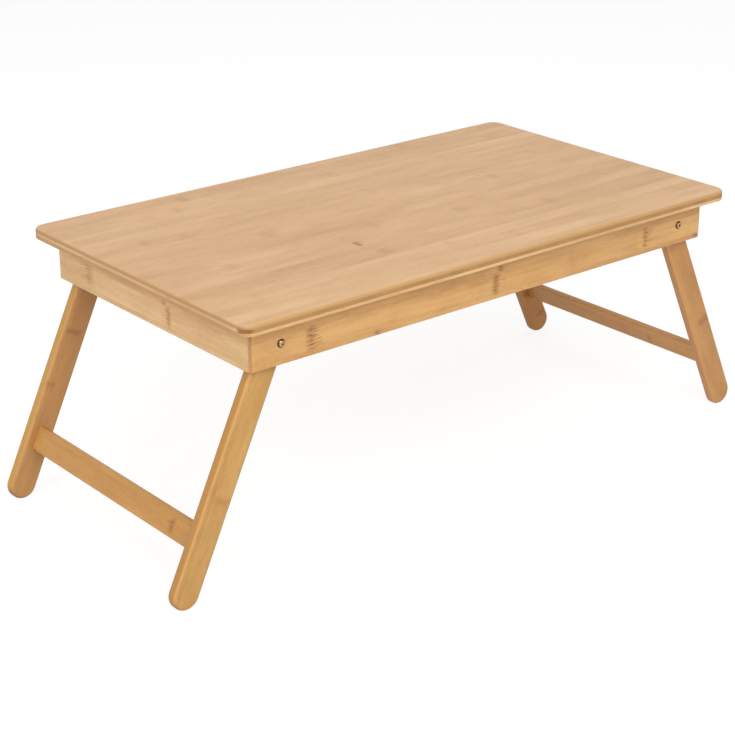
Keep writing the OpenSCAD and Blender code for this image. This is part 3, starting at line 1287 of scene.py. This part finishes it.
    def build(self) -> None:
        """Models the bolts and nuts once and sets a pair of each on both pivots."""
        bolt, nut = self.bolt(), self.lock_nut()
        head_seat = abs(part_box("front_apron")[0].y)
        zinc = nut.data.materials[0]
        for side in Side:
            name = side.name.lower()
            joint = hinge_of(side)
            pivot = Vector(joint["pos_m"])
            nut_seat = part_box(name + "_lock_nuts")[1].y
            seats = {"pivot_bolts": (bolt, head_seat), "lock_nuts": (nut, nut_seat)}
            for kind, (pattern, reach) in seats.items():
                pair = []
                for row in Row:
                    turn = Euler((-row.value * math.pi / 2, 0, 0))
                    seat = pivot + Vector((0, row.value * reach, 0))
                    pair.append(Bench.placed(pattern, f"{name}_{row.name.lower()}_{kind}", turn, seat))
                node = f"{name}_{kind}"
                dressed = Bench.joined(pair, node + "_dressed")
                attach(dressed, joint["parent"])
                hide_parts(node)
                LOG.info("modelled %s", dressed.name)
            for kind in ("spacer_washers", "nut_washers"):
                dress(f"{name}_{kind}", zinc)
        for pattern in (bolt, nut):
            bpy.data.objects.remove(pattern)


# ---------- studio ----------


@dataclass(frozen=True)
class Softbox:
    """One square lamp: where it stands, its side length and its power in watts."""

    name: str
    place: Triple
    size: float
    power: float


@dataclass
class Studio:
    """A plain pale floor, soft lamps and the camera."""

    floor_size: float = 16.0
    floor_colour: Colour = srgb(236, 236, 236)
    backdrop_share: float = 0.7
    backdrop_strength: float = 1.2
    world_strength: float = 0.34
    lit_point: Triple = (0.0, 0.0, 0.2)
    lamps: tuple[Softbox, ...] = (
        Softbox("softbox_overhead", (0.6, 0.6, 2.5), 2.4, 12.0),
        Softbox("softbox_left", (-3.4, -1.1, 2.3), 2.2, 60.0),
        Softbox("softbox_front", (-0.8, -2.4, 2.2), 1.9, 52.0),
    )
    lens: float = 91.29
    sensor: float = 36.0
    shift: float = -0.0918
    azimuth: float = -39.54
    elevation: float = 20.61
    distance: float = 2.139
    aim: Triple = (-0.0325, 0.0, 0.1948)

    def floor(self) -> None:
        """Lays the floor, which is white to the eye and to gloss, and keeps the shadow."""
        Bench.clear()
        bpy.ops.mesh.primitive_plane_add(size=self.floor_size, location=(0, 0, 0))
        made = bpy.context.active_object
        made.name = "floor"
        tree = ShaderTree.of_material("pale_floor")
        pale = tree.node("BsdfDiffuse", {}, {"Color": self.floor_colour})
        white = tree.node("Emission", {}, {"Color": WHITE, "Strength": self.backdrop_strength})
        share = tree.backdrop_mask() * self.backdrop_share
        mixed = tree.node("MixShader", {}, {0: share, 1: pale.outputs[0], 2: white.outputs[0]})
        tree.node("OutputMaterial", {}, {0: mixed.outputs[0]})
        made.data.materials.append(tree.owner)

    def world(self) -> None:
        """Makes a white surrounding that lights the table evenly."""
        tree = ShaderTree(bpy.data.worlds.new("white_studio"))
        light = tree.node("Background", {}, {"Color": WHITE, "Strength": self.world_strength})
        white = tree.node("Background", {}, {"Color": WHITE, "Strength": 1.0})
        ways = {0: tree.backdrop_mask(), 1: light.outputs[0], 2: white.outputs[0]}
        mixed = tree.node("MixShader", {}, ways)
        tree.node("OutputWorld", {}, {0: mixed.outputs[0]})
        bpy.context.scene.world = tree.owner

    def hang(self, lamp: Softbox) -> None:
        """Adds one square soft lamp, turned to the table.

        Args:
            lamp: The lamp to add.
        """
        data = bpy.data.lights.new(lamp.name, "AREA")
        data.shape = "SQUARE"
        data.size = lamp.size
        data.energy = lamp.power
        made = bpy.data.objects.new(lamp.name, data)
        bpy.context.scene.collection.objects.link(made)
        made.location = lamp.place
        toward = Vector(self.lit_point) - Vector(lamp.place)
        made.rotation_euler = toward.to_track_quat("-Z", "Y").to_euler()

    def camera(self) -> None:
        """Sets the camera on its line of sight."""
        data = bpy.data.cameras.new("camera")
        data.lens = self.lens
        data.sensor_width = self.sensor
        data.shift_y = self.shift
        made = bpy.data.objects.new("camera", data)
        bpy.context.scene.collection.objects.link(made)
        turn, tilt = math.radians(self.azimuth), math.radians(self.elevation)
        level = math.cos(tilt)
        back = Vector((math.sin(turn) * level, -math.cos(turn) * level, math.sin(tilt)))
        made.location = Vector(self.aim) + back * self.distance
        made.rotation_euler = (-back).to_track_quat("-Z", "Y").to_euler()
        bpy.context.scene.camera = made

    def build(self) -> None:
        """Sets up the whole studio."""
        self.camera()
        self.floor()
        self.world()
        for lamp in self.lamps:
            self.hang(lamp)
        bpy.context.scene.view_settings.view_transform = "Standard"


def main() -> None:
    """Builds the studio, dresses the table and models its pivot hardware."""
    logging.basicConfig(level=logging.INFO, format="%(name)s: %(message)s")
    Studio().build()
    Tabletop().dress()
    ApronRing().dress()
    # Each member's tint is partly its own tone and partly painted shade and light, darker on the rear
    # legs under the top; its edge colour paints light and shade on its narrow faces.
    LegFrame(
        Side.LEFT,
        front=Timber(
            BambooTone(edge=srgb(194, 145, 82)).tinted(0.83, 0.77, 0.57),
            (Knuckle(0.170, 0.003, 10 * MM, 0.45, 5 * MM, 0.2), Knuckle(0.020, -0.006, 8 * MM, 0.4)),
            edge_tone_and_shade_share=0.9,
        ),
        rear=Timber(
            BambooTone(edge=srgb(234, 190, 98)).tinted(0.68, 0.58, 0.47),
            (Knuckle(0.089, -0.002, 11 * MM, 0.6, 4 * MM, 0.3), Knuckle(0.152, -0.010, 7 * MM, 0.5)),
            edge_tone_and_shade_share=0.85,
        ),
        rail=Timber(BambooTone().tinted(0.77, 0.66, 0.44), (Knuckle(-0.116, 0.001, 9 * MM, 0.6),)),
        seed=41.0,
    ).dress()
    LegFrame(
        Side.RIGHT,
        front=Timber(
            BambooTone(edge=srgb(212, 162, 118)).tinted(0.77, 0.64, 0.48),
            (Knuckle(0.156, 0.006, 11 * MM, 0.6, 6 * MM, 0.1), Knuckle(0.018, 0.004, 9 * MM, 0.4)),
            edge_tone_and_shade_share=0.7, arris_highlight=0.8,
        ),
        rear=Timber(
            BambooTone().tinted(0.84, 0.65, 0.4),
            (Knuckle(0.221, -0.003, 10 * MM, 0.5), Knuckle(0.262, 0.005, 8 * MM, 0.7, fray=0.4)),
            edge_tone_and_shade_share=0.5,
        ),
        rail=Timber(
            BambooTone(edge=srgb(208, 174, 132)).tinted(0.92, 0.78, 0.56),
            (Knuckle(-0.068, 0.004, 9 * MM, 0.5, 4 * MM, 0.2),),
            edge_tone_and_shade_share=0.6, arris_highlight=0.0,
        ),
        seed=57.0,
    ).dress()
    PivotHardware().build()


if __name__ == "__main__":
    main()
